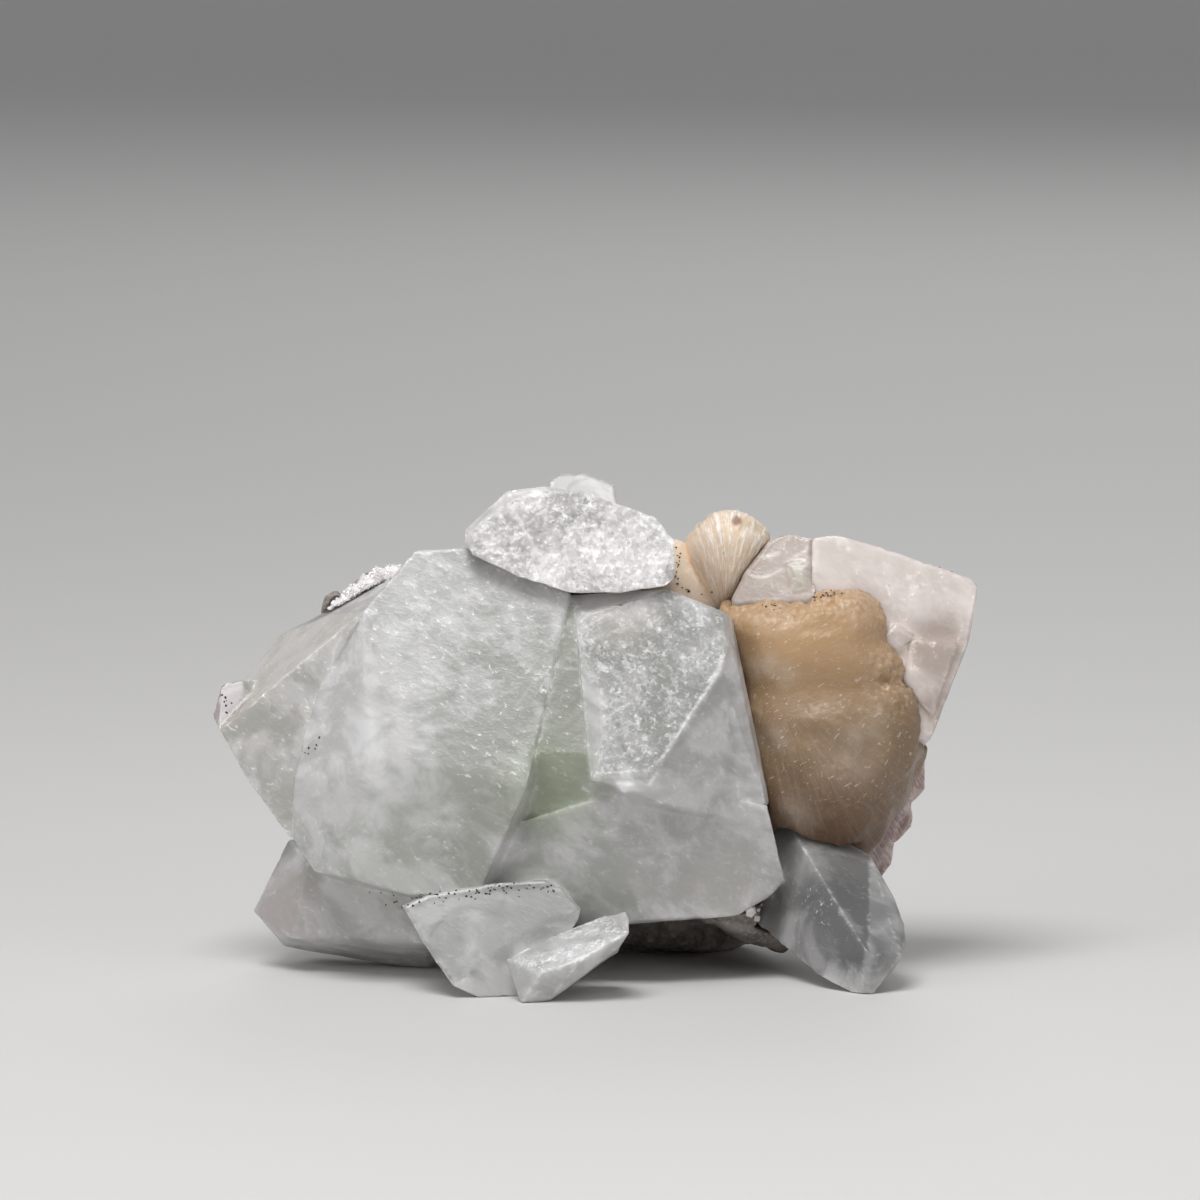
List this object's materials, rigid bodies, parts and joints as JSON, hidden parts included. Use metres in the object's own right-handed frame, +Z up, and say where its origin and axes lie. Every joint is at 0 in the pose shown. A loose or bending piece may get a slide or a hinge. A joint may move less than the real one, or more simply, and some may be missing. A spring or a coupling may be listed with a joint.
{
  "type": "apophyllite cluster",
  "caption": "Mineral hand specimen: blocky milky apophyllite crystals grown through each other, with peach stilbite sheaves, on a scrap of dark basalt.",
  "frame": {"origin": "middle of the specimen's box, on the table it rests on", "axes": "+X to the right along the longest extent, -Y towards the display side, +Z up"},
  "size_m": [0.0974, 0.0554, 0.0628],
  "materials": {
    "apophyllite": "milky green-white translucent crystal, glassy faces with bright flecks and veils inside",
    "pearly_apophyllite": "pearly, sparkling white crystal face",
    "pale_apophyllite": "pale cream-pink translucent crystal, glassy",
    "stilbite": "peach to brown sheaf with a silky sheen, finely ribbed",
    "pale_stilbite": "pale peach fan with bright radial fibres",
    "pink_druse": "dull pink blades with glassy edges",
    "white_druse": "sugary white crust of tiny crystals",
    "basalt": "matt dark brown-grey rock, fine grained"
  },
  "bodies": {
    "root": {"apophyllite_main_mass": "apophyllite", "apophyllite_crown": "pearly_apophyllite", "apophyllite_rear_peak": "pearly_apophyllite", "apophyllite_right_peak": "pale_apophyllite", "apophyllite_right_neighbour": "pale_apophyllite", "stilbite_bow_tie": "stilbite", "stilbite_fan": "pale_stilbite", "pink_crystals": "pink_druse", "white_druse": "white_druse", "basalt_matrix": "basalt"}
  },
  "joints": []
}
